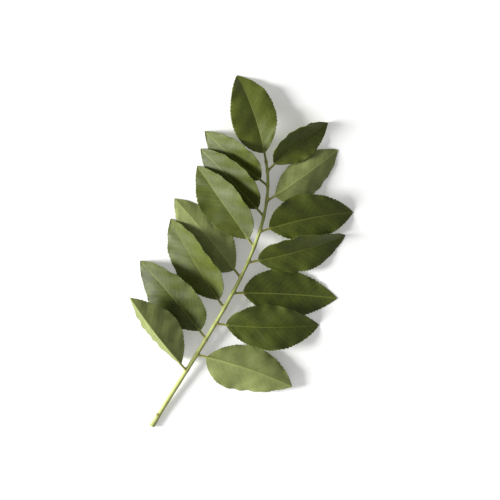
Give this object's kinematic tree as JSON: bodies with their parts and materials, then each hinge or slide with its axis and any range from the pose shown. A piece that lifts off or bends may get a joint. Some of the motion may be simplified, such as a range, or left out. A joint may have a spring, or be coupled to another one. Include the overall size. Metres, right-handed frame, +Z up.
{
  "type": "curry leaf sprig",
  "caption": "Cut pinnate sprig lying flat: a slender arched rachis with alternate, finely toothed leaflets that fold and curl, some showing their pale underside, and a leaflet at the tip.",
  "frame": {"origin": "middle of the outline seen from above, on the surface that the sprig lies on", "axes": "+Z up from the surface, +Y from the cut end towards the leaflet at the tip, +X to the right seen from above"},
  "size_m": [0.0884, 0.14, 0.0137],
  "materials": {
    "rachis": "smooth green stem with a satin skin",
    "leaflet": "matte to satin leaf, dark olive above and pale sage below"
  },
  "bodies": {
    "root": {"rachis": "rachis", "leaflet_01": "leaflet", "leaflet_02": "leaflet", "leaflet_03": "leaflet", "leaflet_04": "leaflet", "leaflet_05": "leaflet", "leaflet_06": "leaflet", "leaflet_07": "leaflet", "leaflet_08": "leaflet", "leaflet_09": "leaflet", "leaflet_10": "leaflet", "leaflet_11": "leaflet", "leaflet_12": "leaflet", "leaflet_13": "leaflet", "leaflet_14": "leaflet", "terminal_leaflet": "leaflet"}
  },
  "joints": []
}
